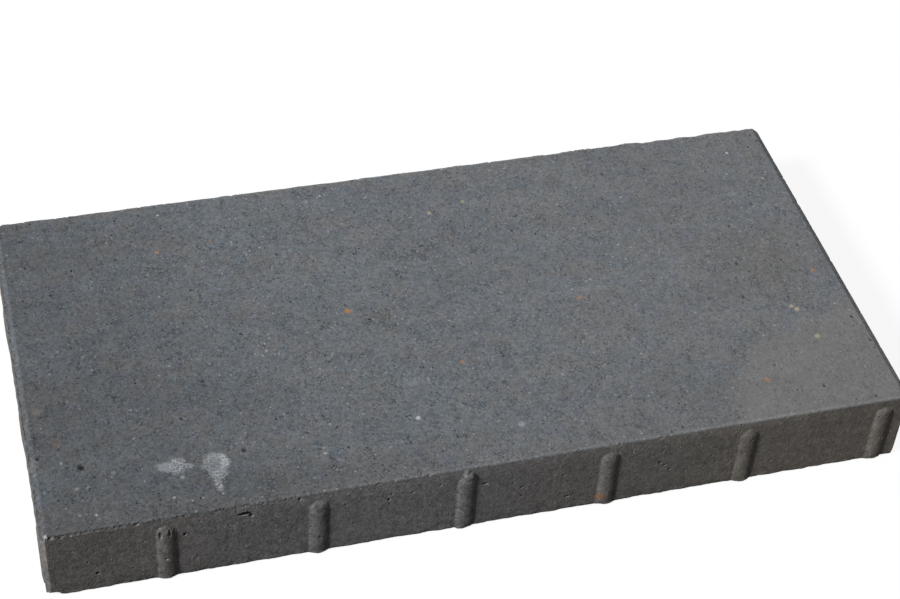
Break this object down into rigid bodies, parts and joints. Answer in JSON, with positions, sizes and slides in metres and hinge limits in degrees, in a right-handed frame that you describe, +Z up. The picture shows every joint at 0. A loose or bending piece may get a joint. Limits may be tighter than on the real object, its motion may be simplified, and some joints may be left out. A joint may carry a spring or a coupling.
{
  "type": "concrete paving stone",
  "caption": "Flat rectangular dark grey concrete paving slab with half-round spacer nibs on its sides, laid on a bed.",
  "frame": {"origin": "middle of the bed face that the slab lies on", "axes": "+X along the length, +Y across the width away from the viewer, +Z up through the thickness"},
  "size_m": [0.604, 0.304, 0.06],
  "materials": {
    "concrete": "matt dark grey concrete, fine pressed face with small pores and aggregate specks"
  },
  "bodies": {
    "root": {"paving_stone": "concrete"}
  },
  "joints": []
}
